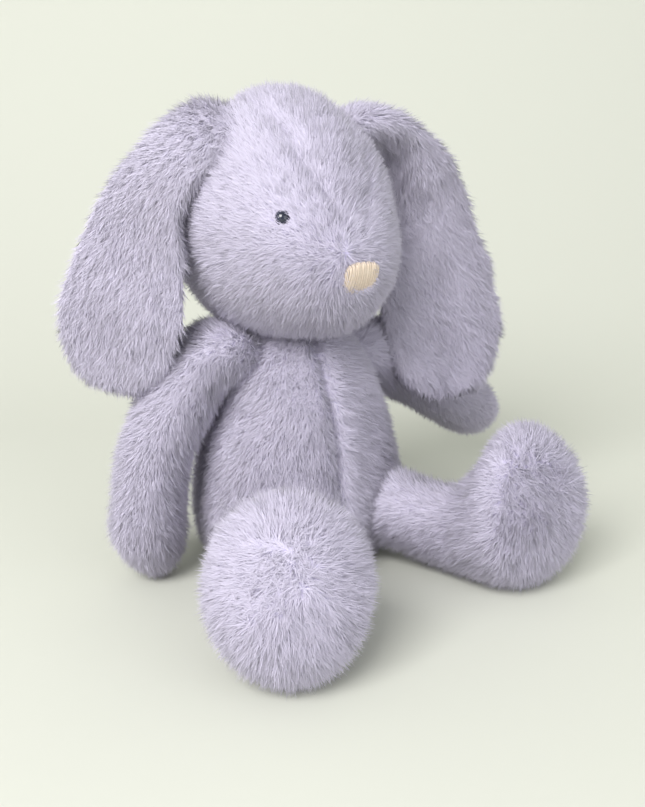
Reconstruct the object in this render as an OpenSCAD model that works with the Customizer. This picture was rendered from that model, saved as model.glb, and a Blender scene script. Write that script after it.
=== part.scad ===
/* [Body] */
// Height of the neck seam above the seat
torso_h = 104; // [96:1:105]
// Half width of the belly at its widest
belly_r = 51; // [46:1:53]
// Thickness of the plush fabric with its packed pile
skin_t = 3; // [2:0.5:4]
// Radius of the pinch of stuffing in the neck
neck_r = 10; // [8:1:12]

/* [Head] */
// Half width of the head at the cheeks
head_w = 52; // [48:1:54]
// Half height of the head
head_h = 57; // [52:1:58]
// Height of the middle of the head above the seat
head_z = 166; // [166:1:172]
// Angle of the head to the bunny's left
head_yaw = 10; // [0:1:20]
// Angle that the nose drops below level
head_pitch = 6; // [0:1:9]
// Diameter of the eye's dome
eye_d = 7; // [6:0.5:9]
// Angle of each eye from the middle of the face
eye_yaw = 37; // [34:1:40]
// Width of the stitched nose
nose_w = 17; // [14:1:20]
// Height of the stitched nose
nose_h = 13.5; // [11:0.5:15]

/* [Ears] */
// Half width of an ear where it is widest
ear_w = 31; // [26:1:34]
// Half thickness of an ear
ear_t = 5; // [4:0.5:6]

/* [Arms] */
// Length from the shoulder's pivot to the paw's end
arm_l = 119; // [110:1:120]
// Radius of the paw
paw_r = 18; // [15:1:19]

/* [Legs] */
// Length from the hip's pivot to the sole
leg_l = 92; // [84:1:96]
// Radius of the leg
leg_r = 20; // [17:1:21]
// Height of the foot, from the heel to the toe
foot_h = 76; // [70:1:80]
// Half width of the foot
foot_w = 33; // [28:1:35]

/* [Tail] */
// Radius of the tail's pompom
tail_r = 19; // [15:1:21]

/* [Hidden] */
$fn = 32;

plush = [0.76, 0.73, 0.84];
fill_white = [0.96, 0.96, 0.94];
cotton = [0.93, 0.92, 0.88];
bean_grey = [0.85, 0.85, 0.82];
eye_black = [0.05, 0.05, 0.09];
washer_white = [0.9, 0.9, 0.9];
nose_beige = [0.92, 0.84, 0.74];

up = [0, 0, 1];
front = [0, -1, 0];
gap = 0.6;            // air between pieces on different bodies
steps = 2;            // rings made between two stations
seam = skin_t;        // how far the stuffing lies inside the skin
neck_t = 3;           // height of the stuffing in the neck
seat_w = belly_r - 11;

// A station is [centre, outward direction, [half width, half thickness]], and may have
// a fourth item, the direction that its ring faces; without it the ring follows the path.
function unit(v) = v / norm(v);
function at(list, i) = list[max(0, min(len(list) - 1, i))];
function curve(a, b, c, d, t) =
  0.5 * (2 * b + (c - a) * t + (2 * a - 5 * b + 4 * c - d) * t * t
  + (3 * b - a - 3 * c + d) * t * t * t);
// Rings between the stations, on a smooth curve through them.
function smoothed(st) = [
  for (i = [0 : len(st) - 2], k = [0 : steps - 1])
    curve(at(st, i - 1), st[i], st[i + 1], at(st, i + 2), k / steps),
  st[len(st) - 1]
];
function tangent(st, i) =
  len(st[i]) > 3 ? st[i][3] : unit(at(st, i + 1)[0] - at(st, i - 1)[0]);
// The ring of points from angle a0 to a1 round station i.
function ring(st, i, a0, a1, sides) =
  let (t = tangent(st, i), u = unit(cross(st[i][1], t)), v = cross(t, u), r = st[i][2])
  [for (k = [0 : sides]) let (a = a0 + (a1 - a0) * k / sides)
    st[i][0] + u * r[0] * cos(a) + v * r[1] * sin(a)];
// The same form, a distance t further in.
function inset(st, t) = [
  for (i = [0 : len(st) - 1])
    let (end = i == 0 ? 1 : i == len(st) - 1 ? -1 : 0)
    [st[i][0] + end * t * tangent(st, i), st[i][1],
     [max(st[i][2][0] - t, 0.6), max(st[i][2][1] - t, 0.6)], tangent(st, i)]
];

// Faces of one curved side: a pole, the rings, and the other pole.
function grid_faces(base, rings, m) = concat(
  [for (k = [0 : m - 2]) [base, base + 1 + k, base + 2 + k]],
  [for (i = [0 : rings - 2], k = [0 : m - 2], h = [0, 1])
    let (p = base + 1 + i * m + k)
    h == 0 ? [p, p + m + 1, p + 1] : [p, p + m, p + m + 1]],
  [for (k = [0 : m - 2]) let (p = base + 1 + (rings - 1) * m + k)
    [base + 1 + rings * m, p + 1, p]]
);
function flipped(faces) = [for (f = faces) [f[2], f[1], f[0]]];
// The cut edge of a panel, between its outer and its inner side.
function edge_faces(line, shift) = [
  for (i = [0 : len(line) - 2], h = [0, 1])
    h == 0 ? [line[i], line[i + 1] + shift, line[i + 1]]
           : [line[i], line[i] + shift, line[i + 1] + shift]
];
function side_points(st, a0, a1, sides) = concat(
  [st[0][0]],
  [for (i = [0 : len(st) - 1], p = ring(st, i, a0, a1, sides)) p],
  [st[len(st) - 1][0]]
);

// One fabric panel: the part of the skin from angle a0 to a1, skin_t thick.
module panel(stations, a0, a1, sides) {
  st = smoothed(stations);
  m = sides + 1;
  n = len(st);
  count = n * m + 2;
  first = [0, for (i = [0 : n - 1]) 1 + i * m, count - 1];
  last = [0, for (i = [0 : n - 1]) 1 + i * m + sides, count - 1];
  polyhedron(
    points = concat(side_points(st, a0, a1, sides),
                    side_points(inset(st, skin_t), a0, a1, sides)),
    faces = concat(grid_faces(0, n, m), flipped(grid_faces(count, n, m)),
                   edge_faces(first, count), flipped(edge_faces(last, count)))
  );
}

// The whole form as one closed solid, t inside the stations, its facets from angle a0.
module form(stations, t, sides, a0 = 0) {
  st = inset(smoothed(stations), t);
  n = len(st);
  m = sides + 1;
  points = side_points(st, a0, a0 + 360, sides);
  wrap = [for (i = [0 : len(points) - 1])
    i > 0 && i < len(points) - 1 && (i - 1) % m == sides ? i - sides : i];
  polyhedron(points = points,
             faces = [for (f = grid_faces(0, n, m)) [wrap[f[0]], wrap[f[1]], wrap[f[2]]]]);
}

// ---- torso: a pear with a flat seat, in four panels ----
torso_y = 1;
function torso_ring(z, w, d) = [[0, torso_y, z], front, [w, d], up];
torso_stations = [
  torso_ring(0, seat_w, seat_w - 6),
  torso_ring(9, belly_r - 2, belly_r - 7),
  torso_ring(30, belly_r, belly_r - 4),
  torso_ring(56, belly_r - 4, belly_r - 7),
  torso_ring(82, belly_r - 12, belly_r - 15),
  torso_ring(torso_h - 5, belly_r - 23, belly_r - 27),
  torso_ring(torso_h, 18, 16)
];
torso_sides = 6;
neck_at = [-2, 3, torso_h + gap];

// ---- shoulders and hips: a round end, clear of the torso ----
shoulder_r = 13;
shoulder_x = belly_r - 5;
shoulder_z = torso_h - 1;
left_shoulder = [shoulder_x, 6, shoulder_z];
right_shoulder = [-shoulder_x, 0, shoulder_z];
hip_z = leg_r + 8;
left_hip = [29, -31, hip_z];
right_hip = [-29, -37, hip_z];
left_leg_yaw = 35;
right_leg_yaw = -23;
hip_gap = 3;          // room for the thigh to turn in

// The round hollows that the hips turn in.
module sockets() for (hip = [left_hip, right_hip])
  translate(hip) rotate([90, 0, 35]) sphere(leg_r + hip_gap);
module torso_panel(a0) color(plush) panel(torso_stations, a0, a0 + 90, torso_sides);
module torso_front_right() difference() { torso_panel(0); sockets(); }
module torso_front_left() difference() { torso_panel(90); sockets(); }
module torso_back_left() torso_panel(180);
module torso_back_right() torso_panel(270);
module torso_stuffing() {
  color(fill_white) difference() {
    form(torso_stations, seam, 24);
    sockets();
    bag(0);
  }
}

// ---- weight in the seat: a sewn cotton bag of plastic beans ----
bag_t = 0.8;
module bag(t) translate([0, 6, 15]) rotate_extrude() polygon([
    [0, -9 + t], [18 - t, -9 + t], [24 - t, -5], [26 - t, 0],
    [22 - t, 5], [12, 8 - t], [0, 9 - t]
  ]);
module bean_bag() color(cotton) difference() { bag(0); bag(bag_t); }
module beans() color(bean_grey) bag(bag_t);

// ---- blank care label, sewn into the left side of the back ----
label_w = 16;
label_l = 24;
label_t = 0.6;
module care_label() color(cotton) translate([belly_r + 3, 3, 20]) rotate([0, 0, 20])
  cube([label_t, label_l, label_w]);

// ---- tail: a pompom of one gathered disc, sewn low on the back ----
back_y = torso_y + belly_r - 4;
tail_at = [0, back_y + 8, 29];
// Half of the pompom's outline, flat where it is sewn down, turned about its middle.
module tail_form(r) translate(tail_at) rotate([-90, 0, 0])
  rotate_extrude() polygon(concat(
    [for (a = [-20 : 10 : 80]) [r * cos(a), r * sin(a)]], [[0, r], [0, r * sin(-20)]]));
module tail_skin() color(plush) difference() {
  tail_form(tail_r);
  translate([0, 0.01, 0]) tail_form(tail_r - skin_t);
}
module tail_stuffing() color(fill_white) tail_form(tail_r - skin_t);

// ---- neck: a pinch of stuffing that the head turns and nods on ----
module neck_stuffing() color(fill_white) translate(neck_at) cylinder(h = neck_t, r = neck_r);

// ---- head: a gusset from nose to nape, and two sides ----
head_at = [-6, 1, head_z];
function head_ring(y, w, h, z) = [[0, y, z], up, [w, h], -front];
head_stations = [
  head_ring(-head_w - 6, 8, 7, -17),
  head_ring(-head_w + 1, 24, 23, -16),
  head_ring(-head_w + 14, head_w - 14, head_h - 18, -9),
  head_ring(-20, head_w - 4, head_h - 6, -2),
  head_ring(0, head_w, head_h, 0),
  head_ring(22, head_w - 4, head_h - 4, 0),
  head_ring(head_w - 13, head_w - 17, head_h - 18, 0),
  head_ring(head_w - 2, 12, 12, 0)
];
gusset_half = 24;
module on_head() translate(head_at) rotate([head_pitch, 0, head_yaw]) children();
module ear_gaps() for (s = [-1, 1]) on_head() ear_root(s, ear_t + gap);

// An eye is a dome on a ribbed stalk; a washer grips the stalk inside the head.
eye_reach = head_w - 3.5;
stalk_r = 1.6;
stalk_l = 12;
washer_r = 6.5;
washer_t = 1.4;
washer_depth = 6;
module on_eye(side) on_head() rotate([0, 0, side * eye_yaw])
  translate([0, -eye_reach, 6]) rotate([90, 0, 0]) children();
module eye_solid() {
  intersection() {
    translate([0, 0, -0.6]) sphere(d = eye_d);
    cylinder(h = eye_d, r = eye_d);
  }
  translate([0, 0, -stalk_l]) cylinder(h = stalk_l + 0.5, r = stalk_r);
}
module eye_hole() translate([0, 0, -stalk_l - 1]) cylinder(h = stalk_l + 12, r = eye_d / 2 + 0.1);
module washer_hole() translate([0, 0, -washer_depth - washer_t - 0.1])
  cylinder(h = washer_t + 0.2, r = washer_r + 0.1);
module left_eye() color(eye_black) on_eye(1) eye_solid();
module right_eye() color(eye_black) on_eye(-1) eye_solid();
module washer() color(washer_white) difference() {
  translate([0, 0, -washer_depth - washer_t]) cylinder(h = washer_t, r = washer_r);
  translate([0, 0, -washer_depth - washer_t - 1]) cylinder(h = washer_t + 2, r = stalk_r + 0.05);
}
module left_eye_washer() on_eye(1) washer();
module right_eye_washer() on_eye(-1) washer();

// The nose is a pad of satin stitches over the tip of the gusset.
nose_t = 2.4;
module nose_pad() on_head() translate([0, -head_w - 6.2, -17]) rotate([90, 0, 0])
  linear_extrude(nose_t) polygon([
    for (a = [0 : 15 : 345]) [nose_w / 2 * cos(a), nose_h / 2 * sin(a)]
  ]);
module nose_stitching() color(nose_beige) nose_pad();

module head_cuts() {
  ear_gaps();
  for (s = [-1, 1]) on_eye(s) eye_hole();
}
module head_panel(a0, a1, sides) color(plush) difference() {
  on_head() panel(head_stations, a0, a1, sides);
  head_cuts();
}
module head_gusset() head_panel(90 - gusset_half, 90 + gusset_half, 4);
module head_side_left() head_panel(90 + gusset_half, 270, 13);
module head_side_right() head_panel(-90, 90 - gusset_half, 13);
module head_stuffing() color(fill_white) difference() {
  on_head() form(head_stations, seam, 30, 90 - gusset_half);
  head_cuts();
  for (s = [-1, 1]) on_eye(s) washer_hole();
}

// ---- ears: a front and a back panel each, sewn round the edge and left flat ----
// side is 1 for the bunny's left ear and -1 for its right.
ear_root_w = 17;
ear_base = [
  [[34, 2, 49], [0.1, 0, 1], ear_root_w],
  [[47, 3, 48], [0.4, 0.1, 0.9], ear_root_w],
  [[61, 4, 36], [0.7, 0.3, 0.5], ear_w - 11],
  [[72, 4, 14], [0.75, 0.5, 0.3], ear_w - 6],
  [[80, 3, -13], [0.75, 0.62, 0.1], ear_w - 2],
  [[86, 1, -42], [0.75, 0.66, 0], ear_w],
  [[88, 0, -66], [0.75, 0.66, 0], ear_w - 7],
  [[88, 0, -79], [0.75, 0.66, 0], 12]
];
// How far the tip hangs from its even place, outwards, backwards and up, and how far the
// left ear turns on the way down, so that it hangs in front of its arm.
left_ear_lean = [4, -48, -8];
right_ear_lean = [-6, -10, 4];
left_ear_twist = 34;
function turned(side, v) = [side * v[0], side * v[1], v[2]];
function spun(v, a) = [v[0] * cos(a) - v[1] * sin(a), v[0] * sin(a) + v[1] * cos(a), v[2]];
function ear_stations(side, lean, twist) = [
  for (i = [0 : len(ear_base) - 1]) let (e = ear_base[i])
    [turned(side, e[0] + lean * pow(i / 7, 1.3)),
     unit(turned(side, spun(e[1], twist * min(i / 4, 1)))), [e[2], ear_t]]
];
left_ear = ear_stations(1, left_ear_lean, left_ear_twist);
right_ear = ear_stations(-1, right_ear_lean, 0);
module ear_root(side, r)
  translate([side * 34, 2 * side, 49]) rotate([90, 0, 0])
    cylinder(h = 2 * ear_root_w + 6, r = r, center = true);
module ear_panel(stations, a0) color(plush) on_head() panel(stations, a0, a0 + 180, 7);
module left_ear_back() ear_panel(left_ear, 0);
module left_ear_front() ear_panel(left_ear, 180);
module right_ear_back() ear_panel(right_ear, 0);
module right_ear_front() ear_panel(right_ear, 180);

// ---- arms: an outer and an inner panel each, round a soft filling ----
// An arm leaves the shoulder along way0 and bends evenly until it points along way1.
function arm_stations(from, way0, way1, out) = [
  for (s = [[-shoulder_r + 1, 5, 5], [-shoulder_r / 2, 11, 11], [4, shoulder_r, shoulder_r],
            [28, paw_r - 1, paw_r - 2], [60, paw_r, paw_r - 1], [arm_l - 26, paw_r + 1, paw_r],
            [arm_l - 9, paw_r - 4, paw_r - 5], [arm_l, 6, 5]])
    let (t = s[0], bend = max(t, 0) * max(t, 0) / (2 * arm_l))
    [from + unit(way0) * t + (unit(way1) - unit(way0)) * bend, out, [s[1], s[2]]]
];
left_arm = arm_stations(left_shoulder, [0.95, 0.3, -0.66], [1.1, 0.34, -0.62], [0.3, 0.2, 1]);
right_arm = arm_stations(right_shoulder, [-0.74, 0.04, -0.74], [0.2, -0.08, -1], [-1, 0, 0.3]);
module arm_panel(stations, a0) color(plush) panel(stations, a0, a0 + 180, 8);
module left_arm_outer() arm_panel(left_arm, 0);
module left_arm_inner() arm_panel(left_arm, 180);
module left_arm_stuffing() color(fill_white) form(left_arm, seam, 16);
module right_arm_outer() arm_panel(right_arm, 0);
module right_arm_inner() arm_panel(right_arm, 180);
module right_arm_stuffing() color(fill_white) form(right_arm, seam, 16);

// ---- legs: an outer and an inner panel each, with the foot standing up at the end ----
// lean tips a ring backwards, so that the sole faces forwards and a little up.
function leg_station(hip, yaw, t, w, h, z, lean) =
  [hip + [t * sin(yaw), -t * cos(yaw), z - hip_z],
   [sign(yaw) * cos(yaw), abs(sin(yaw)), 0], [h, w],
   [sin(yaw) * cos(lean), -cos(yaw) * cos(lean), sin(lean)]];
function leg_stations(hip, yaw) = [
  for (s = [[-leg_r + 1, 6, 6, hip_z, 0], [-leg_r / 2, leg_r - 3, leg_r - 3, hip_z, 0],
            [4, leg_r, leg_r, hip_z - 1, 0], [24, leg_r - 1, leg_r - 1, leg_r + 4, 0],
            [leg_l - 46, leg_r + 1, leg_r + 1, leg_r + 2, 4],
            [leg_l - 28, foot_w - 5, foot_h / 2 - 7, foot_h / 2 - 7, 12],
            [leg_l - 13, foot_w, foot_h / 2, foot_h / 2, 20],
            [leg_l - 3, foot_w - 6, foot_h / 2 - 9, foot_h / 2 + 3, 24],
            [leg_l + 2, 14, 17, foot_h / 2 + 5, 26]])
    leg_station(hip, yaw, s[0], s[1], s[2], s[3], s[4])
];
left_leg = leg_stations(left_hip, left_leg_yaw);
right_leg = leg_stations(right_hip, right_leg_yaw);
module leg_panel(stations, a0) color(plush) panel(stations, a0, a0 + 180, 8);
module left_leg_outer() leg_panel(left_leg, 0);
module left_leg_inner() leg_panel(left_leg, 180);
module left_leg_stuffing() color(fill_white) form(left_leg, seam, 16);
module right_leg_outer() leg_panel(right_leg, 0);
module right_leg_inner() leg_panel(right_leg, 180);
module right_leg_stuffing() color(fill_white) form(right_leg, seam, 16);

torso_front_left();
torso_front_right();
torso_back_left();
torso_back_right();
torso_stuffing();
bean_bag();
beans();
care_label();
tail_skin();
tail_stuffing();
neck_stuffing();
head_gusset();
head_side_left();
head_side_right();
head_stuffing();
nose_stitching();
left_eye();
right_eye();
left_eye_washer();
right_eye_washer();
left_ear_front();
left_ear_back();
right_ear_front();
right_ear_back();
left_arm_outer();
left_arm_inner();
left_arm_stuffing();
right_arm_outer();
right_arm_inner();
right_arm_stuffing();
left_leg_outer();
left_leg_inner();
left_leg_stuffing();
right_leg_outer();
right_leg_inner();
right_leg_stuffing();
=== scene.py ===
import math

import bmesh
import bpy
import numpy as np
from mathutils import Matrix, Vector, noise


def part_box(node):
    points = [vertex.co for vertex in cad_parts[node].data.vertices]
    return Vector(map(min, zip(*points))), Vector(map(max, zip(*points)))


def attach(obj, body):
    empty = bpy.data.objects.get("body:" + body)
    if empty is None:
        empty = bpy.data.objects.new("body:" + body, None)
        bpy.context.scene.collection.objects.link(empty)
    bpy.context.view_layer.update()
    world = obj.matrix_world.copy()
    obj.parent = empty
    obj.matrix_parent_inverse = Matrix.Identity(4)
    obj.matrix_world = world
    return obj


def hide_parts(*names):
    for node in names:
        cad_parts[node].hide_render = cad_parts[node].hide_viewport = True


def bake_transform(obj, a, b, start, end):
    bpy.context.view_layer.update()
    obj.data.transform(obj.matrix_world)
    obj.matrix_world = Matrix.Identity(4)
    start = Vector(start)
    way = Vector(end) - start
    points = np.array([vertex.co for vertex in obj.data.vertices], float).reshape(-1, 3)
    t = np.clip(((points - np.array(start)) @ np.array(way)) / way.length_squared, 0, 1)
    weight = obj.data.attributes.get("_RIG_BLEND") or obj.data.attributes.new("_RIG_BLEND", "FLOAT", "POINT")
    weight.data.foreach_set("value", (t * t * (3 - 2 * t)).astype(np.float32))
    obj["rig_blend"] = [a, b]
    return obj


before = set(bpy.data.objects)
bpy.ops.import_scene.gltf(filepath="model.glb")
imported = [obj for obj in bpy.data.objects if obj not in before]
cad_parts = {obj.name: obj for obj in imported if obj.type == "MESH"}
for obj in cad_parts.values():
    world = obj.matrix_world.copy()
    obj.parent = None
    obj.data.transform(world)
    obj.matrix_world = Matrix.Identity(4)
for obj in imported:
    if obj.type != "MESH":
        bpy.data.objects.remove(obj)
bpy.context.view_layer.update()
scene = bpy.context.scene

# ---- Studio ----
# A pale floor that curves up behind the rabbit, one big soft window light to the viewer's
# left, a weak fill low in front of the rabbit, and a bright room all round.
AIM = Vector((0.0034, -0.020, 0.0792))
TO_CAMERA = Vector((-0.4647, -0.8453, 0.2639)).normalized()
CAMERA_AWAY = 0.416

camera = bpy.data.objects.new("camera", bpy.data.cameras.new("camera"))
camera.data.lens = 38.81
camera.data.clip_start = 0.01
camera.location = AIM + TO_CAMERA * CAMERA_AWAY
camera.rotation_mode = "QUATERNION"
camera.rotation_quaternion = (-TO_CAMERA).to_track_quat("-Z", "Y")
scene.collection.objects.link(camera)
scene.camera = camera


def soft_light(name, place, size, watts, colour):
    """A square softbox at that place, aimed at the rabbit."""
    lamp = bpy.data.lights.new(name, "AREA")
    lamp.size, lamp.energy, lamp.color = size, watts, colour
    made = bpy.data.objects.new(name, lamp)
    made.location = place
    made.rotation_mode = "QUATERNION"
    made.rotation_quaternion = (AIM - Vector(place)).to_track_quat("-Z", "Y")
    scene.collection.objects.link(made)


soft_light("window", (-1.25, -0.85, 1.2), 1.1, 41.0, (1.0, 0.99, 0.97))
soft_light("fill", (0.5, -1.7, 0.5), 1.4, 9.0, (0.95, 0.97, 1.0))
scene.view_settings.view_transform = "Standard"

world = bpy.data.worlds.new("room")
world.use_nodes = True
world.node_tree.nodes["Background"].inputs["Color"].default_value = (0.98, 1.0, 0.95, 1)
world.node_tree.nodes["Background"].inputs["Strength"].default_value = 0.56
scene.world = world


def new_object(name, bm):
    """The bmesh as an object at the origin, smooth shaded."""
    mesh = bpy.data.meshes.new(name)
    bm.to_mesh(mesh)
    bm.free()
    mesh.polygons.foreach_set("use_smooth", [True] * len(mesh.polygons))
    made = bpy.data.objects.new(name, mesh)
    scene.collection.objects.link(made)
    return made


def new_material(name, colour, roughness=0.9, sheen=0.0, sheen_tint=(1, 1, 1, 1)):
    """A Principled material, and its shader and node tree."""
    mat = bpy.data.materials.new(name)
    mat.use_nodes = True
    mat.diffuse_color = (*colour, 1)
    shader = mat.node_tree.nodes["Principled BSDF"]
    shader.inputs["Base Color"].default_value = (*colour, 1)
    shader.inputs["Roughness"].default_value = roughness
    shader.inputs["Sheen Weight"].default_value = sheen
    shader.inputs["Sheen Tint"].default_value = sheen_tint
    return mat, shader, mat.node_tree


def node(tree, kind, **settings):
    """A new node. Settings whose names match an input set its value or link to it."""
    made = tree.nodes.new(kind)
    for key, value in settings.items():
        if key in made.inputs:
            if isinstance(value, bpy.types.NodeSocket):
                tree.links.new(value, made.inputs[key])
            else:
                made.inputs[key].default_value = value
        else:
            setattr(made, key, value)
    return made


sweep = bmesh.new()
bmesh.ops.create_grid(sweep, x_segments=1, y_segments=1, size=1.5)
bmesh.ops.translate(sweep, vec=(0, -0.6, 0), verts=sweep.verts)
back = [e for e in sweep.edges if all(v.co.y > 0.8 for v in e.verts)]
rise = bmesh.ops.extrude_edge_only(sweep, edges=back)["geom"]
bmesh.ops.translate(sweep, vec=(0, 0, 2.2), verts=[g for g in rise if isinstance(g, bmesh.types.BMVert)])
bmesh.ops.rotate(sweep, matrix=Matrix.Rotation(math.radians(-28.8), 3, "Z"), verts=sweep.verts)
fold = [e for e in sweep.edges if len(e.link_faces) == 2]
bmesh.ops.bevel(sweep, geom=fold, offset=0.7, segments=24, profile=0.5, affect="EDGES", material=-1)
floor = new_object("floor", sweep)
card, _, tree = new_material("floor_card", (0.635, 0.645, 0.59), 0.85)
speck = node(tree, "ShaderNodeTexNoise", Scale=900.0, Detail=2.0,
             Vector=node(tree, "ShaderNodeTexCoord").outputs["Object"])
bump = node(tree, "ShaderNodeBump", Strength=0.03, Distance=0.0005, Height=speck.outputs["Fac"])
tree.links.new(bump.outputs["Normal"], tree.nodes["Principled BSDF"].inputs["Normal"])
floor.data.materials.append(card)

# ---- Torso ----
# A pear of knitted plush: four panels sewn edge to edge, turned and stuffed with
# polyester fibre. Its long pile lies downwards and hides all but the seams' creases.
MM = 0.001
PILE_SUNK = 3.6          # mm from the tips of the pile down to the knitted ground
PILE_OFF_FLOOR = 0.0004  # m between the floor and the lowest fibre that is pressed on it
SKIN_OFF_FLOOR = 0.0006  # m between the floor and the lowest ground


def ring(centre, facing, out, half_w, half_t):
    """One cross-section of a stuffed form, in millimetres: where it is, which way it
    faces, the direction of its thickness, and its half width and half thickness."""
    return [Vector(centre), Vector(facing).normalized(), Vector(out).normalized(), half_w, half_t]


def between(a, b, c, d, t):
    """A value on the smooth curve from b to c, with a before and d after them."""
    return 0.5 * (2 * b + (c - a) * t + (2 * a - 5 * b + 4 * c - d) * t * t
                  + (3 * b - a - 3 * c + d) * t ** 3)


def smooth_rings(rings, steps=3):
    """More rings, on the smooth curve through the given ones."""
    last = len(rings) - 1
    near = lambda i: rings[max(0, min(last, i))]
    found = [
        [between(*(near(i + k)[part] for k in (-1, 0, 1, 2)), s / steps) for part in range(5)]
        for i in range(last) for s in range(steps)
    ] + [list(rings[last])]
    for r in found:
        r[1], r[2] = r[1].normalized(), r[2].normalized()
    return found


def facing_along(rings):
    """The rings, each facing along the path through their centres."""
    last = len(rings) - 1
    for i, r in enumerate(rings):
        r[1] = (rings[min(last, i + 1)][0] - rings[max(0, i - 1)][0]).normalized()
    return rings


def sewn_form(name, rings, sides=32):
    """A closed skin through the rings, its seams and poles closed."""
    bm = bmesh.new()
    loops = []
    for centre, facing, out, half_w, half_t in rings:
        loop = bmesh.ops.create_circle(bm, segments=sides, radius=1)["verts"]
        across = out.cross(facing).normalized()
        through = facing.cross(across)
        place = Matrix((across * half_w, through * half_t, facing)).transposed() * MM
        place = Matrix.Translation(centre * MM) @ place.to_4x4()
        bmesh.ops.transform(bm, matrix=place, verts=loop)
        loops.append([e for e in bm.edges if e.is_wire and e.verts[0] in loop and e.verts[1] in loop])
    for a, b in zip(loops, loops[1:]):
        bmesh.ops.bridge_loops(bm, edges=a + b)
    for loop in (loops[0], loops[-1]):
        cap = bmesh.ops.edgeloop_fill(bm, edges=loop)["faces"]
        bmesh.ops.poke(bm, faces=cap)
    bmesh.ops.recalc_face_normals(bm, faces=bm.faces)
    return new_object(name, bm)


def apply_modifiers(piece):
    """Replaces the piece's mesh by what its modifiers make of it."""
    graph = bpy.context.evaluated_depsgraph_get()
    made = bpy.data.meshes.new_from_object(piece.evaluated_get(graph))
    piece.modifiers.clear()
    piece.data = made


def vertex_places(piece):
    """The piece's vertices and their normals, as two arrays."""
    count = len(piece.data.vertices)
    places, normals = np.zeros(count * 3), np.zeros(count * 3)
    piece.data.vertices.foreach_get("co", places)
    piece.data.vertices.foreach_get("normal", normals)
    return places.reshape(-1, 3), normals.reshape(-1, 3)


def stuff(piece, at_seam, swell=2.2, pressure=4.0):
    """Fills the piece: it swells between its seams, which hold still, by swell mm at most."""
    start, _ = vertex_places(piece)
    hold = piece.vertex_groups.new(name="seams")
    hold.add([int(i) for i in np.nonzero(at_seam(start / MM))[0]], 1.0, "REPLACE")
    cloth = piece.modifiers.new("filling", "CLOTH")
    cloth.settings.quality = 5
    cloth.settings.mass = 0.2
    cloth.settings.vertex_group_mass = "seams"
    cloth.settings.use_pressure = True
    cloth.settings.uniform_pressure_force = pressure
    cloth.settings.effector_weights.gravity = 0.0
    cloth.settings.tension_stiffness = 12.0
    cloth.settings.compression_stiffness = 12.0
    cloth.settings.bending_stiffness = 0.8
    cloth.collision_settings.use_collision = False
    cloth.point_cache.frame_start, cloth.point_cache.frame_end = 1, 14
    for step in range(1, 15):
        scene.frame_set(step)
    apply_modifiers(piece)
    swollen, _ = vertex_places(piece)
    moved = swollen - start
    far = np.linalg.norm(moved, axis=1, keepdims=True)
    moved *= np.minimum(1.0, swell * MM / np.maximum(far, 1e-9))
    piece.data.vertices.foreach_set("co", (start + moved).ravel())
    scene.frame_set(1)
    piece.vertex_groups.clear()
    piece.data.polygons.foreach_set("use_smooth", [True] * len(piece.data.polygons))
    piece.data.update()
    return piece


def crease(piece, depth, how_near):
    """Draws the skin in along its seams: how_near gives 1 on a seam and 0 away from it."""
    places, normals = vertex_places(piece)
    near = np.asarray(how_near(places / MM)).reshape(-1, 1)
    piece.data.vertices.foreach_set("co", (places - normals * near * depth * MM).ravel())
    piece.data.update()


def lumpy(piece, height, size, seed):
    """Gives the skin the soft hills and dents, size mm across, that a hand filling leaves."""
    places, normals = vertex_places(piece)
    hills = np.array([noise.noise(Vector(p) / (size * MM) + Vector((seed, 0, 0))) for p in places])
    places = places + normals * hills[:, None] * height * MM
    places[:, 2] = np.maximum(places[:, 2], SKIN_OFF_FLOOR)
    piece.data.vertices.foreach_set("co", places.ravel())
    piece.data.update()


def knitted_ground():
    """The dyed knitted ground, seen only between the fibres; its lavender is darker than the fibre's as
    painted shade for the depth of the pile.
    """
    mat, shader, tree = new_material("plush_ground", (0.52, 0.48, 0.66), 0.95)
    at = node(tree, "ShaderNodeTexCoord").outputs["Object"]
    patches = node(tree, "ShaderNodeTexNoise", Scale=180.0, Detail=3.0, Vector=at)
    shades = node(tree, "ShaderNodeValToRGB", Fac=patches.outputs["Fac"])
    # Both ramp colours are darker than the fibre: painted shade for the depth of the pile, over the ground's
    # own lavender dye and its random patches.
    shades.color_ramp.elements[0].position, shades.color_ramp.elements[1].position = 0.35, 0.7
    shades.color_ramp.elements[0].color = (0.46, 0.42, 0.62, 1)
    shades.color_ramp.elements[1].color = (0.62, 0.58, 0.76, 1)
    tree.links.new(shades.outputs["Color"], shader.inputs["Base Color"])
    knit = node(tree, "ShaderNodeTexVoronoi", Scale=1400.0, Vector=at)
    bump = node(tree, "ShaderNodeBump", Strength=0.4, Distance=0.0004, Height=knit.outputs["Distance"])
    tree.links.new(bump.outputs["Normal"], shader.inputs["Normal"])
    return mat


# The fibre is dyed in one bath, yet each tuft takes it a little differently: four shades. The short tufts,
# low in the pile, mostly take the darker ones, as painted shade for the depth of the pile.
PILE_SHADES = [
    (0.64, 0.60, 0.76), (0.79, 0.765, 0.87), (0.90, 0.885, 0.94), (0.97, 0.965, 0.985),
]
pile_finish = [
    new_material(f"pile_{i}", colour, 0.6, 0.2, (0.97, 0.96, 1, 1))[0]
    for i, colour in enumerate(PILE_SHADES)
]
ground = knitted_ground()


def make_tuft():
    """One tuft of fibres: a thin spike with three sides, flatter than it is wide."""
    bm = bmesh.new()
    bmesh.ops.create_cone(bm, segments=3, radius1=0.58, radius2=0.58, depth=1, cap_ends=False)
    bmesh.ops.translate(bm, vec=(0, 0, 0.5), verts=bm.verts)
    bmesh.ops.scale(bm, vec=(1, 0.7, 1), verts=bm.verts)
    bmesh.ops.pointmerge(bm, verts=[v for v in bm.verts if v.co.z > 0.5], merge_co=(0, 0.4, 1))
    bmesh.ops.recalc_face_normals(bm, faces=bm.faces)
    return new_object("tuft", bm)


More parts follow.
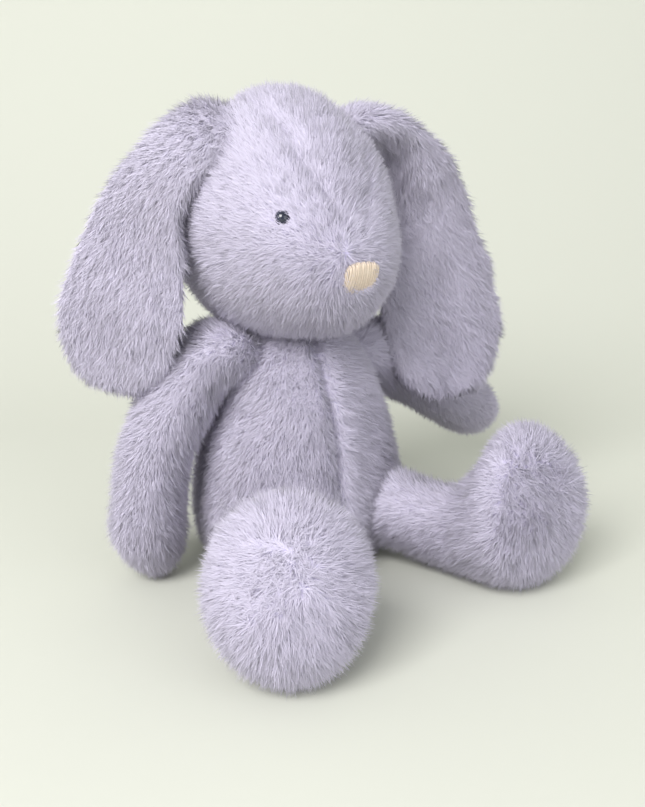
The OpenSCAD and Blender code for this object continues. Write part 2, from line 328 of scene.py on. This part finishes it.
def pile_nodes(tuft):
    """The nodes that plant tufts over a skin, combed as its attributes say."""
    group = bpy.data.node_groups.new("pile", "GeometryNodeTree")
    group.interface.new_socket("Geometry", in_out="INPUT", socket_type="NodeSocketGeometry")
    for label, kind in (("Per square metre", "NodeSocketFloat"), ("Length", "NodeSocketFloat"),
                        ("Width", "NodeSocketFloat"), ("Seed", "NodeSocketInt")):
        group.interface.new_socket(label, in_out="INPUT", socket_type=kind)
    group.interface.new_socket("Geometry", in_out="OUTPUT", socket_type="NodeSocketGeometry")
    given = node(group, "NodeGroupInput").outputs

    def vector(operation, *sides, scale=None):
        made = node(group, "ShaderNodeVectorMath", operation=operation)
        for socket, value in zip(made.inputs, sides):
            if isinstance(value, bpy.types.NodeSocket):
                group.links.new(value, socket)
            else:
                socket.default_value = value
        if scale is not None:
            if isinstance(scale, bpy.types.NodeSocket):
                group.links.new(scale, made.inputs["Scale"])
            else:
                made.inputs["Scale"].default_value = scale
        return made.outputs["Value" if operation in ("DOT_PRODUCT", "LENGTH") else "Vector"]

    def number(operation, *sides):
        made = node(group, "ShaderNodeMath", operation=operation)
        for socket, value in zip(made.inputs, sides):
            if isinstance(value, bpy.types.NodeSocket):
                group.links.new(value, socket)
            else:
                socket.default_value = value
        return made.outputs["Value"]

    def named(kind, name):
        made = node(group, "GeometryNodeInputNamedAttribute", data_type=kind)
        made.inputs["Name"].default_value = name
        return made.outputs["Attribute"]

    def waves(size, seed):
        """Noise that changes over size metres, as a vector round zero."""
        place = vector("ADD", node(group, "GeometryNodeInputPosition").outputs[0], (seed, seed, seed))
        made = node(group, "ShaderNodeTexNoise", Scale=1.0 / size, Detail=1.0, Vector=place)
        return vector("SUBTRACT", made.outputs["Color"], (0.5, 0.5, 0.5)), made.outputs["Fac"]

    def chance(low, high, seed):
        made = node(group, "FunctionNodeRandomValue", data_type="FLOAT")
        numbers = [s for s in made.inputs if s.enabled and s.type == "VALUE"]
        numbers[0].default_value, numbers[1].default_value = low, high
        made.inputs["Seed"].default_value = seed
        return next(s for s in made.outputs if s.enabled)

    plant = node(group, "GeometryNodeDistributePointsOnFaces")
    group.links.new(given["Geometry"], plant.inputs["Mesh"])
    group.links.new(given["Per square metre"], plant.inputs["Density"])
    group.links.new(given["Seed"], plant.inputs["Seed"])
    normal = plant.outputs["Normal"]
    broad, _ = waves(0.016, 0.0)
    fine, fine_height = waves(0.0030, 3.0)
    combed = vector("ADD", named("FLOAT_VECTOR", "comb"), vector("SCALE", broad, scale=1.3))
    combed = vector("ADD", combed, vector("SCALE", fine, scale=2.3))
    upright = vector("SCALE", normal, scale=vector("DOT_PRODUCT", combed, normal))
    flat = vector("SUBTRACT", combed, upright)
    flat = vector("NORMALIZE", flat)

    def stray(amount, seed):
        made = node(group, "ShaderNodeCombineXYZ")
        for i, axis in enumerate("XYZ"):
            group.links.new(chance(-amount, amount, seed + i), made.inputs[axis])
        return made.outputs[0]

    lie = named("FLOAT", "lie")
    raised = vector("SCALE", normal, scale=number("SUBTRACT", 1.0, lie))
    way = vector("ADD", vector("SCALE", flat, scale=lie), raised)
    way = vector("NORMALIZE", vector("ADD", way, stray(0.27, 11)))
    turn = node(group, "FunctionNodeAxesToRotation", primary_axis="Z", secondary_axis="X")
    group.links.new(way, turn.inputs[0])
    group.links.new(vector("CROSS_PRODUCT", normal, way), turn.inputs[1])
    long = number("MULTIPLY", given["Length"], named("FLOAT", "longer"))
    long = number("MULTIPLY", long, chance(0.65, 1.15, 21))
    long = number("MULTIPLY", long, number("ADD", 0.65, number("MULTIPLY", fine_height, 0.7)))
    size = node(group, "ShaderNodeCombineXYZ")
    wide = number("MULTIPLY", given["Width"], chance(0.7, 1.3, 22))
    group.links.new(wide, size.inputs["X"])
    group.links.new(wide, size.inputs["Y"])
    group.links.new(long, size.inputs["Z"])
    # Each tuft's shade follows the noise that also sets its length, so short tufts come out darker: painted
    # shade for the pile's depth, mixed with each tuft's own random tone.
    shade = number("ADD", number("MULTIPLY", fine_height, 1.9), chance(-0.6, 0.5, 23))
    shade = number("MINIMUM", number("MAXIMUM", shade, 0.0), 0.999)
    shade = number("FLOOR", number("MULTIPLY", shade, float(len(PILE_SHADES))))
    shine = vector("NORMALIZE", vector("ADD", vector("ADD", normal, stray(0.42, 31)),
                                       vector("SCALE", fine, scale=1.6)))
    points = plant.outputs["Points"]
    for label, kind, value in (("shade", "FLOAT", shade), ("shine", "FLOAT_VECTOR", shine)):
        mark = node(group, "GeometryNodeStoreNamedAttribute", data_type=kind, domain="POINT")
        mark.inputs["Name"].default_value = label
        group.links.new(points, mark.inputs["Geometry"])
        group.links.new(value, mark.inputs["Value"])
        points = mark.outputs[0]
    stand = node(group, "GeometryNodeInstanceOnPoints")
    group.links.new(points, stand.inputs["Points"])
    blade = node(group, "GeometryNodeObjectInfo")
    blade.inputs["Object"].default_value = tuft
    group.links.new(blade.outputs["Geometry"], stand.inputs["Instance"])
    group.links.new(turn.outputs[0], stand.inputs["Rotation"])
    group.links.new(size.outputs[0], stand.inputs["Scale"])
    real = node(group, "GeometryNodeRealizeInstances")
    group.links.new(stand.outputs[0], real.inputs[0])
    colour = node(group, "GeometryNodeSetMaterialIndex")
    group.links.new(real.outputs[0], colour.inputs["Geometry"])
    group.links.new(number("ROUND", named("FLOAT", "shade")), colour.inputs["Material Index"])
    out = node(group, "NodeGroupOutput")
    group.links.new(colour.outputs[0], out.inputs[0])
    return group


tuft = make_tuft()
planting = pile_nodes(tuft)


def grow_pile(name, skin, comb, longer, lie=0.55, length=6.8, width=0.38,
              per_cm2=380, keep=None, seed=1):
    """The pile on a skin, as its own mesh. comb gives each place in mm its direction,
    longer its share of the length, and lie how flat it lies; keep picks a part of the skin.
    The fibres take the light as the skin under them does, each a little astray."""
    bed = bpy.data.objects.new(name, skin.data.copy())
    scene.collection.objects.link(bed)
    if keep is not None:
        bm = bmesh.new()
        bm.from_mesh(bed.data)
        gone = [f for f in bm.faces if not keep(f.calc_center_median() / MM)]
        bmesh.ops.delete(bm, geom=gone, context="FACES")
        bm.to_mesh(bed.data)
        bm.free()
    places, normals = vertex_places(bed)
    places = places / MM
    ways = comb(places)
    ways = ways / np.maximum(np.linalg.norm(ways, axis=1, keepdims=True), 1e-6)
    data = bed.data.attributes
    data.new("comb", "FLOAT_VECTOR", "POINT").data.foreach_set("vector", ways.astype(np.float32).ravel())
    data.new("longer", "FLOAT", "POINT").data.foreach_set(
        "value", (np.ones(len(places)) * longer(places)).astype(np.float32))
    data.new("lie", "FLOAT", "POINT").data.foreach_set(
        "value", (np.ones(len(places)) * lie).astype(np.float32))
    grow = bed.modifiers.new("pile", "NODES")
    grow.node_group = planting
    for socket in planting.interface.items_tree:
        if socket.in_out == "INPUT" and socket.name != "Geometry":
            grow[socket.identifier] = {
                "Per square metre": per_cm2 * 1e4, "Length": length * MM,
                "Width": width * MM, "Seed": seed}[socket.name]
    apply_modifiers(bed)
    bed.data.materials.clear()
    for finish in pile_finish:
        bed.data.materials.append(finish)
    heights = np.zeros(len(bed.data.vertices) * 3, np.float32)
    bed.data.vertices.foreach_get("co", heights)
    heights = heights.reshape(-1, 3)
    heights[:, 2] = np.maximum(heights[:, 2], PILE_OFF_FLOOR)
    bed.data.vertices.foreach_set("co", heights.ravel())
    soft = np.zeros(len(heights) * 3, np.float32)
    bed.data.attributes["shine"].data.foreach_get("vector", soft)
    bed.data.normals_split_custom_set_from_vertices(soft.reshape(-1, 3))
    for left in ("comb", "longer", "lie", "shade", "shine"):
        if left in bed.data.attributes:
            bed.data.attributes.remove(bed.data.attributes[left])
    bed.data.update()
    return bed


torso_shape = [(0, 38, 32), (7, 49, 44), (30, 54, 49), (56, 50, 46), (82, 42, 39), (98, 36, 31),
               (107, 29, 26), (114, 21, 20)]
torso_rings = smooth_rings([
    ring((0, 1, z), (0, 0, 1), (0, -1, 0), w - PILE_SUNK, d - PILE_SUNK) for z, w, d in torso_shape], 5)
torso_rings[0][0].z = 2.0


def torso_seams(p):
    """1 at each of the torso's four seams, falling to 0 a few millimetres away."""
    return np.exp(-(np.minimum(np.abs(p[:, 0]), np.abs(p[:, 1] - 1)) / 2.3) ** 2)


torso = sewn_form("torso", torso_rings, 96)
stuff(torso, lambda p: (torso_seams(p) > 0.6) | (p[:, 2] < 4), 0.9)
lumpy(torso, 2.0, 26, 1)
crease(torso, 3.4, lambda p: torso_seams(p) * np.clip(p[:, 2] / 12, 0, 1))
torso.data.materials.append(ground)
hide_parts("torso_front_left", "torso_front_right", "torso_back_left",
            "torso_back_right", "torso_stuffing")
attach(torso, "torso")


def torso_comb(p):
    """Downwards, and away from the front and back seams."""
    away = np.sign(p[:, 0]) * np.exp(-np.abs(p[:, 0]) / 14)
    return np.stack([1.1 * away, np.zeros(len(p)), -np.ones(len(p))], axis=1)


def torso_longer(p):
    """Short pile in the front and back seams, where the needle caught it."""
    return 1 - 0.75 * np.exp(-(p[:, 0] / 2.2) ** 2)


for side_name, front in (("front", True), ("back", False)):
    pile = grow_pile(f"torso_{side_name}_pile", torso, torso_comb, torso_longer,
                     keep=lambda c, front=front: (c.y < 1) == front, seed=2 + front)
    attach(pile, "torso")

# ---- Head ----
# A round head of a wide gusset from nose to nape and two side panels, stuffed firm.
# The pile spreads from a whorl above the nose, up the forehead and back over the cheeks.
on_head = (Matrix.Translation(Vector((-6, 1, 166))) @ Matrix.Rotation(math.radians(10), 4, "Z")
           @ Matrix.Rotation(math.radians(6), 4, "X"))
head_turned = on_head.to_3x3()
head_shape = [(-58, 8, 7, -17), (-51, 24, 23, -16), (-38, 38, 39, -9), (-20, 48, 51, -2),
              (0, 52, 57, 0), (22, 48, 53, 0), (39, 35, 39, 0), (50, 12, 12, 0)]
head_rings = smooth_rings([
    ring((0, y, z), (0, 1, 0), (0, 0, 1), w - PILE_SUNK * 0.9, h - PILE_SUNK * 0.9)
    for y, w, h, z in head_shape], 6)
head_rings[0][0].y += PILE_SUNK - 1
head_rings[-1][0].y -= PILE_SUNK
for r in head_rings:
    r[0], r[1], r[2] = on_head @ r[0], head_turned @ r[1], head_turned @ r[2]


def in_head(p):
    """Places in mm as seen from the head, with the nose towards -y."""
    back = np.array(on_head.inverted())
    return p @ back[:3, :3].T + back[:3, 3]


def head_seams(p):
    """1 along the two edges of the gusset, which run from the nose back over the head."""
    q = in_head(p)
    angle = np.degrees(np.arctan2(np.abs(q[:, 0]) / 52, (q[:, 2] + 4) / 57))
    return np.exp(-((angle - 24 - 8 * (q[:, 1] < -30)) / 4.0) ** 2) * (q[:, 2] > -8)


EYE_TURN, EYE_REACH, EYE_UP = 37, 48.5, 6
eye_places = [
    np.array([s * math.sin(math.radians(EYE_TURN)) * EYE_REACH,
              -math.cos(math.radians(EYE_TURN)) * EYE_REACH, EYE_UP]) for s in (1, -1)]


def near_eyes(p, reach):
    """1 at an eye, falling smoothly to 0 past reach mm."""
    q = in_head(p)
    return sum(np.exp(-(np.linalg.norm(q - e, axis=1) / reach) ** 2) for e in eye_places)


head = sewn_form("head", head_rings, 90)
stuff(head, lambda p: head_seams(p) > 0.7, 0.9)
lumpy(head, 1.2, 26, 2)
crease(head, 2.4, head_seams)
crease(head, 0.9, lambda p: near_eyes(p, 6.0))
head.data.materials.append(ground)
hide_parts("head_gusset", "head_side_left", "head_side_right", "head_stuffing")
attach(head, "head")

WHORL = np.array([-7.0, -56.0, -5.0])
NOSE = np.array([0.0, -58.5, -17.0])


def head_comb(p):
    """Away from the whorl above the nose, a little downwards low on the cheeks."""
    q = in_head(p)
    way = q - WHORL
    way /= np.maximum(np.linalg.norm(way, axis=1, keepdims=True), 1e-6)
    way[:, 2] -= 0.35 * np.clip((-q[:, 2] - 5) / 30, 0, 1)
    return way @ np.array(head_turned).T


def head_longer(p):
    """Short pile round the eyes and the nose."""
    q = in_head(p)
    to_nose = np.linalg.norm((q - NOSE) / np.array([8.5, 6.0, 6.6]), axis=1)
    to_eye = np.min([np.linalg.norm(q - e, axis=1) for e in eye_places], axis=0)
    by_nose = np.clip((to_nose - 0.75) / 1.6, 0, 1)
    by_eye = np.clip((to_eye - 3.2) / 9, 0, 1)
    return 0.02 + 0.98 * (0.6 + 0.4 * by_nose) * np.where(to_nose < 0.68, 0.0, 1) \
        * (0.7 + 0.3 * by_eye) * np.where(to_eye < 1.8, 0.0, 1) * (1 - 0.35 * head_seams(p))


for side_name, left in (("left", True), ("right", False)):
    pile = grow_pile(f"head_{side_name}_pile", head, head_comb, head_longer, length=6.6,
                     keep=lambda c, left=left: ((on_head.inverted() @ c).x > 0) == left,
                     seed=4 + left)
    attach(pile, "head")

# ---- Eyes ----
# Two moulded safety eyes: a polished blue-black dome on a ribbed stalk, held inside the
# head by a pressed washer.
eye_gloss, shader, tree = new_material("eye_gloss", (0.008, 0.010, 0.022), 0.06)
shader.inputs["Coat Weight"].default_value = 0.6
shader.inputs["Coat Roughness"].default_value = 0.03
depth = node(tree, "ShaderNodeTexNoise", Scale=400.0,
             Vector=node(tree, "ShaderNodeTexCoord").outputs["Object"])
iris = node(tree, "ShaderNodeValToRGB", Fac=depth.outputs["Fac"])
iris.color_ramp.elements[0].color = (0.004, 0.005, 0.012, 1)
iris.color_ramp.elements[1].color = (0.018, 0.024, 0.055, 1)
tree.links.new(iris.outputs["Color"], shader.inputs["Base Color"])


def dress(name, material):
    """Gives a CAD node that stays in view a finished material."""
    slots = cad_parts[name].material_slots
    if not slots:
        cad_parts[name].data.materials.append(material)
    for s in slots:
        s.link = "OBJECT"
        s.material = material


nylon, shader, tree = new_material("washer_nylon", (0.85, 0.85, 0.84), 0.45)
grain = node(tree, "ShaderNodeTexNoise", Scale=600.0,
             Vector=node(tree, "ShaderNodeTexCoord").outputs["Object"])
tint = node(tree, "ShaderNodeValToRGB", Fac=grain.outputs["Fac"])
tint.color_ramp.elements[0].color = (0.80, 0.80, 0.79, 1)
tint.color_ramp.elements[1].color = (0.90, 0.90, 0.88, 1)
tree.links.new(tint.outputs["Color"], shader.inputs["Base Color"])
for side_name in ("left", "right"):
    dress(f"{side_name}_eye", eye_gloss)
    dress(f"{side_name}_eye_washer", nylon)

# ---- Nose ----
# A padded oval of satin stitches in beige rayon thread, sewn side by side from its upper
# edge to its lower one over the tip of the gusset.
NOSE_W, NOSE_H = 18.5, 14.5
nose_bm = bmesh.new()
bmesh.ops.create_uvsphere(nose_bm, u_segments=32, v_segments=16, radius=1)
bmesh.ops.scale(nose_bm, vec=(NOSE_W / 2 - 0.4, 3.0, NOSE_H / 2 - 0.4), verts=nose_bm.verts)
for v in nose_bm.verts:
    away = math.hypot(v.co.x / NOSE_W, v.co.z / NOSE_H)
    squarer = (abs(v.co.x / NOSE_W) ** 3 + abs(v.co.z / NOSE_H) ** 3) ** (1 / 3)
    v.co.x, v.co.z = v.co.x * away / max(squarer, 1e-6), v.co.z * away / max(squarer, 1e-6)
threads = 34
for i in range(threads):
    x = (i + 0.5) / threads * 2 - 1
    across = x * NOSE_W / 2
    tall = (1 - abs(x) ** 3) ** (1 / 3)
    start = bmesh.ops.create_circle(nose_bm, segments=6, radius=0.33)["verts"]
    slant = 0.5 * math.sin(i * 2.4)
    reach = NOSE_H / 2 * tall * (1 + 0.05 * math.sin(i * 5.1))
    proud = (3.3 + 0.1 * math.sin(i * 3.7)) * (1 - 0.85 * x ** 4) ** 0.5
    line = [(across + slant * (k / 8 - 0.5),
             -proud * math.sin(math.pi * (0.06 + 0.88 * k / 8)) ** 0.6,
             reach * math.cos(math.pi * k / 8)) for k in range(9)]
    bmesh.ops.translate(nose_bm, vec=line[0], verts=start)
    edges = [e for e in nose_bm.edges if e.is_wire]
    for a, b in zip(line, line[1:]):
        grown = bmesh.ops.extrude_edge_only(nose_bm, edges=edges)["geom"]
        moved = [g for g in grown if isinstance(g, bmesh.types.BMVert)]
        edges = [g for g in grown if isinstance(g, bmesh.types.BMEdge)
                 and all(v in moved for v in g.verts)]
        bmesh.ops.translate(nose_bm, vec=Vector(b) - Vector(a), verts=moved)
bmesh.ops.holes_fill(nose_bm, edges=nose_bm.edges, sides=8)
bmesh.ops.recalc_face_normals(nose_bm, faces=nose_bm.faces)
place = (Matrix.Scale(MM, 4) @ on_head @ Matrix.Translation(Vector((0, -56.5, -17)))
         @ Matrix.Rotation(math.radians(14), 4, "X"))
bmesh.ops.transform(nose_bm, matrix=place, verts=nose_bm.verts)
nose = new_object("nose", nose_bm)
rayon, shader, tree = new_material("nose_thread", (0.84, 0.70, 0.56), 0.5, 0.2)
at = node(tree, "ShaderNodeTexCoord").outputs["Object"]
dye = node(tree, "ShaderNodeTexNoise", Scale=500.0, Detail=3.0, Vector=at)
beige = node(tree, "ShaderNodeValToRGB", Fac=dye.outputs["Fac"])
beige.color_ramp.elements[0].color = (0.60, 0.485, 0.385, 1)
beige.color_ramp.elements[1].color = (0.72, 0.615, 0.52, 1)
tree.links.new(beige.outputs["Color"], shader.inputs["Base Color"])
nose.data.materials.append(rayon)
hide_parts("nose_stitching")
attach(nose, "head")

# ---- Ears ----
# Each ear is a front and a back panel sewn round the edge and left unstuffed, long and
# soft, sewn into the head's side seam and hanging past the cheek.
def along(rings, ahead=1.0, spread=0.0):
    """Combs the pile along a limb towards its tip, or back from it, spread at the tip."""
    centres = np.array([r[0] for r in rings])
    ways = np.array([r[1] for r in rings])

    def comb(p):
        apart = np.linalg.norm(p[:, None, :] - centres[None], axis=2)
        share = 1 / np.maximum(apart, 0.5) ** 4
        share /= share.sum(1, keepdims=True)
        out = p - share @ centres
        out /= np.maximum(np.linalg.norm(out, axis=1, keepdims=True), 1e-6)
        return ahead * (share @ ways) + spread * out + np.array([0, 0, -0.4])
    return comb


left_ear_path = [
    (20, 6, 28, 0.0, 0, 1, 12, 8), (32, 5, 38, 0.1, 0, 1, 17, 9), (46, 1, 40.5, 0.38, 0.16, 0.91, 20, 9),
    (61, -5, 29.5, 0.64, 0.54, 0.55, 23, 8), (73, -11, 10, 0.49, 0.81, 0.32, 26, 7),
    (80, -19, -17, 0.28, 0.95, 0.1, 31, 6), (84, -29, -48, 0.25, 0.97, 0, 36, 6),
    (85, -37, -73, 0.25, 0.97, 0, 30, 6), (86, -43, -86, 0.25, 0.97, 0, 16, 5)]
right_ear_path = [
    (-18, 6, 34, 0.0, -0.3, 1, 13, 8), (-31, 5, 38.5, -0.15, -0.5, 0.86, 18, 9),
    (-44, 5, 33, -0.4, -0.55, 0.76, 19, 9), (-56, 9, 21.5, -0.7, -0.5, 0.5, 19.5, 8),
    (-65.5, 12.5, 5, -0.79, -0.58, 0.3, 21.5, 7), (-70, 14, -11, -0.77, -0.63, 0.1, 26, 6),
    (-77, 11, -39, -0.75, -0.66, 0, 31, 6), (-79.5, 12.5, -63, -0.75, -0.66, 0, 25, 6),
    (-79, 14, -74, -0.75, -0.66, 0, 13, 5)]
for side_name, path, seed in (("left", left_ear_path, 6), ("right", right_ear_path, 8)):
    rings = facing_along([
        ring((x, y, z), (0, 0, 1), (ox, oy, oz), w - PILE_SUNK * 0.8, t - 2.6)
        for x, y, z, ox, oy, oz, w, t in path])
    rings = smooth_rings(rings)
    for r in rings:
        r[0], r[1], r[2] = on_head @ r[0], head_turned @ r[1], head_turned @ r[2]
    ear = sewn_form(f"{side_name}_ear", rings, 56)
    stuff(ear, lambda p: np.zeros(len(p), bool), 0.8, 0.8)
    lumpy(ear, {"left": 4.0, "right": 2.0}[side_name], 22, seed)
    ear.data.materials.append(ground)
    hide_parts(f"{side_name}_ear_front", f"{side_name}_ear_back")
    pile = grow_pile(f"{side_name}_ear_pile", ear, along(rings), lambda p: 0.95, lie=0.64, seed=seed)
    root, bend_end = rings[1][0] * MM, rings[9][0] * MM
    for piece in (ear, pile):
        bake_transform(piece, "head", f"{side_name}_ear", root, bend_end)

# ---- Arms ----
# Each arm is an outer and an inner panel, softly stuffed and closed into the shoulder
# seam, so that it hangs from the shoulder.
arm_paths = {
    "left": [(20, 2, 88, 11, 11), (31, 3, 95, 15, 15), (46, 7, 97, 18, 18),
             (69, 14, 85, 18, 18), (96, 22, 69, 18.5, 17.5), (126, 31, 52, 19, 18),
             (140, 35, 44, 15, 14), (148, 37.5, 40, 7, 6)],
    "right": [(-17, 1, 94, 11, 11), (-29, 0, 102, 16, 16), (-44, 0, 103.5, 18.5, 18.5),
              (-61, 0.7, 85, 18.5, 18),
              (-75, 0.5, 56.5, 18.5, 17.5), (-79, -0.7, 28, 19, 18), (-78, -1.7, 13, 15, 14),
              (-76.5, -2.4, 4.4, 7, 6)]}
for side_name, out, seed in (("left", (0.3, 0.2, 1), 10), ("right", (-1, 0, 0.3), 12)):
    rings = smooth_rings(facing_along([
        ring((x, y, z), (0, 0, 1), out, w - PILE_SUNK, t - PILE_SUNK)
        for x, y, z, w, t in arm_paths[side_name]]))
    arm = sewn_form(f"{side_name}_arm", rings, 24)
    stuff(arm, lambda p: np.zeros(len(p), bool), 1.0, 1.5)
    lumpy(arm, 1.6, 20, seed)
    arm.data.materials.append(ground)
    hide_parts(f"{side_name}_arm_outer", f"{side_name}_arm_inner", f"{side_name}_arm_stuffing")
    pile = grow_pile(f"{side_name}_arm_pile", arm, along(rings), lambda p: 1.0, seed=seed)
    for piece in (arm, pile):
        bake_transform(piece, "torso", f"{side_name}_arm", rings[4][0] * MM, rings[9][0] * MM)

# ---- Legs ----
# Each leg is an outer and an inner panel with the foot's heel and toe cut in one with it,
# stuffed and sewn into the hip, so that the rabbit sits with its soles to the front.
leg_shape = [(-24, 10, 10, 28, 0), (-10, 17, 17, 28, 0), (4, 20, 20, 27, 0), (24, 19.5, 19.5, 24, 0),
             (42, 21, 21.5, 22.5, 2), (58, 27, 29.5, 29.5, 8), (72, 32, 38, 37.5, 14),
             (85, 31.5, 36.5, 39.5, 20),
             (93, 21, 24, 42, 24), (95.5, 9, 11, 43, 25)]
FOOT_FROM, FOOT_RUN = 50, 35     # mm along the leg where the foot begins, and its run to the sole
LEFT_SOLE_TURN = 22              # degrees that the left sole turns back towards the front
LEFT_LEAN = 0.45                 # the left foot's share of the lean that the right one has
LEFT_SHORTER = 4.5               # mm that the left sole is drawn back
for side_name, hip, yaw, seed in (("left", (29, -31), 35, 14), ("right", (-29, -37), -23, 18)):
    turn, rings, is_left = math.radians(yaw), [], yaw > 0
    for t, w, h, z, lean in leg_shape:
        if t > FOOT_FROM:
            w, h, z = (w + 3, h, z) if is_left else (w, h - 2.2, z - 2)
        t -= (PILE_SUNK + LEFT_SHORTER * is_left) * min(1.0, max(0.0, (t - FOOT_FROM) / FOOT_RUN))
        tip = math.radians(lean * (LEFT_LEAN if is_left else 1.0))
        in_foot = min(1.0, max(0.0, (t - FOOT_FROM) / FOOT_RUN))
        faces = turn - math.radians(LEFT_SOLE_TURN) * is_left * in_foot
        facing = (math.sin(faces) * math.cos(tip), -math.cos(faces) * math.cos(tip), math.sin(tip))
        out = (math.copysign(math.cos(faces), yaw), abs(math.sin(faces)), 0)
        rings.append(ring((hip[0] + t * math.sin(turn), hip[1] - t * math.cos(turn), z), facing, out,
                          h - PILE_SUNK, w - PILE_SUNK))
    rings = smooth_rings(rings)
    leg = sewn_form(f"{side_name}_leg", rings)
    stuff(leg, lambda p: np.zeros(len(p), bool), 1.2, 2.0)
    lumpy(leg, 1.6, 22, seed)
    leg.data.materials.append(ground)
    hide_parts(f"{side_name}_leg_outer", f"{side_name}_leg_inner", f"{side_name}_leg_stuffing")
    pieces = [leg]
    across = Vector((math.cos(turn), math.sin(turn), 0))
    middle = Vector((hip[0], hip[1], 0))
    for half_name, sign in (("outer", 1), ("inner", -1)):
        pile = grow_pile(
            f"{side_name}_leg_{half_name}_pile", leg, along(rings, -1.0, 0.15), lambda p: 1.0,
            keep=lambda c, sign=sign: ((c - middle).dot(across) > 0) == (sign * yaw > 0),
            seed=seed + sign)
        pieces.append(pile)
    for piece in pieces:
        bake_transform(piece, "torso", f"{side_name}_leg", rings[3][0] * MM, rings[10][0] * MM)

# ---- Tail ----
# A pompom of one gathered disc of plush round a ball of fibre, sewn low on the back.
tail_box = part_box("tail_skin")
tail_centre = Vector(((tail_box[0].x + tail_box[1].x) / 2, 0.055, (tail_box[0].z + tail_box[1].z) / 2))
tail_bm = bmesh.new()
bmesh.ops.create_icosphere(tail_bm, subdivisions=4, radius=0.0152)
bmesh.ops.scale(tail_bm, vec=(1, 0.92, 1), verts=tail_bm.verts)
bmesh.ops.translate(tail_bm, vec=tail_centre, verts=tail_bm.verts)
tail = new_object("tail", tail_bm)
tail.data.materials.append(ground)
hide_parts("tail_skin", "tail_stuffing")
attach(tail, "torso")
tail_root = np.array(tail_centre) / MM - np.array([0, 14, 0])
tail_pile = grow_pile("tail_pile", tail, lambda p: p - tail_root + np.array([0, 0, -6.0]),
                      lambda p: 1.0, lie=0.45, seed=24)
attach(tail_pile, "torso")

# ---- Neck, weight and label ----
# A wad of fibre fills the neck. A cotton bag of plastic beans weighs down the seat, and
# a blank woven label is caught in the left side seam.
fibre, shader, tree = new_material("white_fibre", (0.9, 0.9, 0.88), 0.95, 0.3)
wisps = node(tree, "ShaderNodeTexNoise", Scale=700.0, Detail=6.0,
             Vector=node(tree, "ShaderNodeTexCoord").outputs["Object"])
lift = node(tree, "ShaderNodeBump", Strength=0.6, Distance=0.0006, Height=wisps.outputs["Fac"])
tree.links.new(lift.outputs["Normal"], shader.inputs["Normal"])
neck = sewn_form("neck", smooth_rings([
    ring((-2, 3, z), (0, 0, 1), (0, -1, 0), r, r)
    for z, r in ((104, 7), (106, 11), (110, 12), (114, 8))]), 24)
neck.data.materials.append(fibre)
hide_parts("neck_stuffing")
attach(neck, "neck")

cotton, shader, tree = new_material("bag_cotton", (0.84, 0.82, 0.76), 0.9)
at = node(tree, "ShaderNodeTexCoord").outputs["Object"]
warp = node(tree, "ShaderNodeTexWave", Scale=900.0, bands_direction="X", Vector=at)
weft = node(tree, "ShaderNodeTexWave", Scale=900.0, bands_direction="Z", Vector=at)
cloth_weave = node(tree, "ShaderNodeMath", operation="ADD")
tree.links.new(warp.outputs["Fac"], cloth_weave.inputs[0])
tree.links.new(weft.outputs["Fac"], cloth_weave.inputs[1])
lift = node(tree, "ShaderNodeBump", Strength=0.5, Distance=0.0002, Height=cloth_weave.outputs[0])
tree.links.new(lift.outputs["Normal"], shader.inputs["Normal"])
dress("bean_bag", cotton)
bean, shader, tree = new_material("bean_plastic", (0.8, 0.8, 0.77), 0.4)
beads = node(tree, "ShaderNodeTexVoronoi", Scale=350.0,
             Vector=node(tree, "ShaderNodeTexCoord").outputs["Object"])
lift = node(tree, "ShaderNodeBump", Strength=1.0, Distance=0.001, invert=True,
            Height=beads.outputs["Distance"])
tree.links.new(lift.outputs["Normal"], shader.inputs["Normal"])
dress("beans", bean)

label_low, label_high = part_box("care_label")
label_bm = bmesh.new()
bmesh.ops.create_grid(label_bm, x_segments=16, y_segments=12, size=0.5)
bmesh.ops.rotate(label_bm, matrix=Matrix.Rotation(math.radians(90), 3, "X"), verts=label_bm.verts)
bmesh.ops.rotate(label_bm, matrix=Matrix.Rotation(math.radians(90), 3, "Z"), verts=label_bm.verts)
bmesh.ops.scale(label_bm, vec=(1, 0.024, 0.016), verts=label_bm.verts)
for v in label_bm.verts:
    s = v.co.y / 0.024 + 0.5
    v.co.x = -0.0022 * math.sin(math.pi * s * 0.9)
bmesh.ops.solidify(label_bm, geom=label_bm.faces, thickness=0.0004)
bmesh.ops.rotate(label_bm, matrix=Matrix.Rotation(math.radians(20), 3, "Z"), verts=label_bm.verts)
clear_of_pile = Vector((0.004, 0, 0))
bmesh.ops.translate(label_bm, vec=(label_low + label_high) / 2 + clear_of_pile, verts=label_bm.verts)
bmesh.ops.recalc_face_normals(label_bm, faces=label_bm.faces)
label = new_object("care_label_blank", label_bm)
label.data.materials.append(cotton)
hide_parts("care_label")
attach(label, "torso")

# ---- Tuft ----
# The tuft that was planted everywhere isn't a piece, and goes.
bpy.data.objects.remove(tuft, do_unlink=True)
